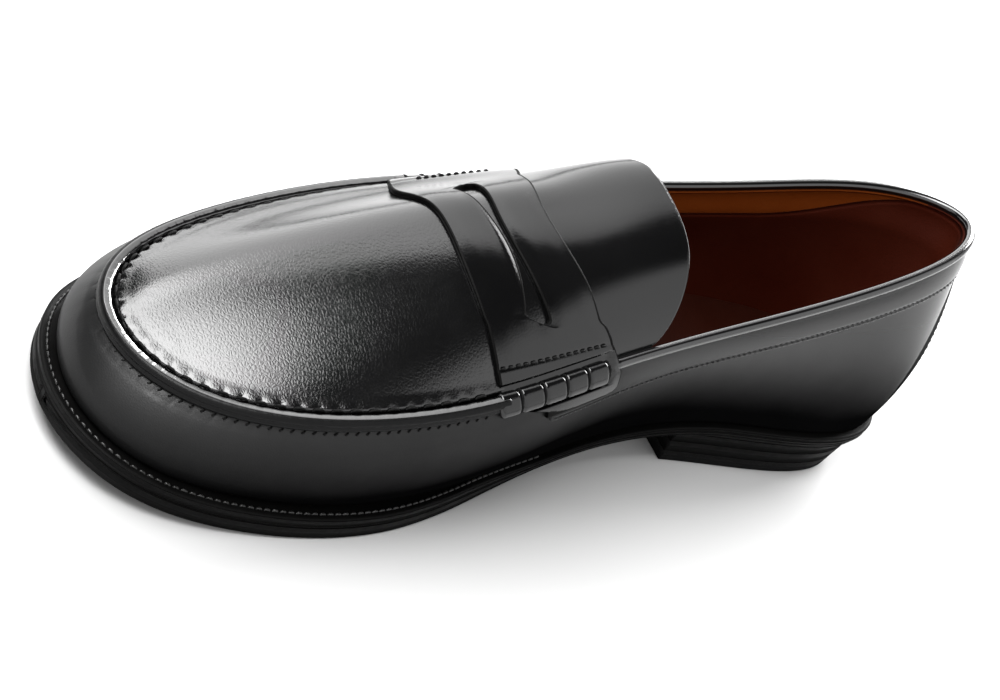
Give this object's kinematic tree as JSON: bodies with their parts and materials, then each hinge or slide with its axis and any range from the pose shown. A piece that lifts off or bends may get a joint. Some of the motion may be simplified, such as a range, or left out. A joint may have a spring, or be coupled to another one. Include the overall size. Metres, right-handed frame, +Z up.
{
  "type": "penny loafer",
  "caption": "Right slip-on loafer: welted sole, stacked low heel, domed apron with raised seam, slotted saddle strap, rolled strap ends, lifting tongue and lined foot opening.",
  "frame": {"origin": "centre of the shoe's box in plan, on the floor that it stands on", "axes": "+X to the toe, +Y to the medial (inner) side, +Z up"},
  "size_m": [0.2922, 0.103, 0.0892],
  "materials": {
    "black_leather": "glossy black calf leather with fine grain",
    "sole_edge": "black waxed sole edge, satin",
    "thread": "black waxed thread",
    "brown_lining": "cognac brown lining leather, smooth satin",
    "textile_lining": "undyed cotton drill",
    "leatherboard": "tan leatherboard, matt",
    "cork": "cork filler, matt",
    "sole_rubber": "black rubber, matt",
    "steel": "plain spring steel and nails"
  },
  "bodies": {
    "shoe": {"heel_top_piece": "sole_rubber", "heel_lift_2": "sole_edge", "heel_lift_1": "sole_edge", "heel_rand": "sole_edge", "outsole": "sole_rubber", "welt": "sole_edge", "cork_filler": "cork", "shank": "steel", "insole": "leatherboard", "sock_lining": "brown_lining", "heel_nail_1": "steel", "heel_nail_2": "steel", "heel_nail_3": "steel", "heel_nail_4": "steel", "heel_nail_5": "steel", "side_wall": "black_leather", "collar_band": "black_leather", "topline_binding": "black_leather", "backstay": "black_leather", "heel_counter": "leatherboard", "toe_puff": "leatherboard", "quarter_lining_medial": "brown_lining", "vamp_lining": "textile_lining", "quarter_lining_lateral": "brown_lining", "heel_grip_lining": "brown_lining", "apron": "black_leather", "apron_lining": "textile_lining", "apron_ridge": "black_leather", "saddle_strap": "black_leather", "beef_roll_medial": "black_leather", "roll_lashing_medial_1": "thread", "roll_lashing_medial_2": "thread", "roll_lashing_medial_3": "thread", "roll_lashing_medial_4": "thread", "roll_lashing_medial_5": "thread", "beef_roll_lateral": "black_leather", "roll_lashing_lateral_1": "thread", "roll_lashing_lateral_2": "thread", "roll_lashing_lateral_3": "thread", "roll_lashing_lateral_4": "thread", "roll_lashing_lateral_5": "thread"},
    "tongue_flap": {"tongue": "black_leather", "tongue_lining": "brown_lining"}
  },
  "joints": [
    {"name": "tongue_lift", "type": "hinge", "parent": "shoe", "child": "tongue_flap", "pos_m": [0.014, 0, 0.0767], "axis": [0, 1, 0], "range_deg": [0, 30], "stiffness_Nm_per_rad": 0.05}
  ]
}
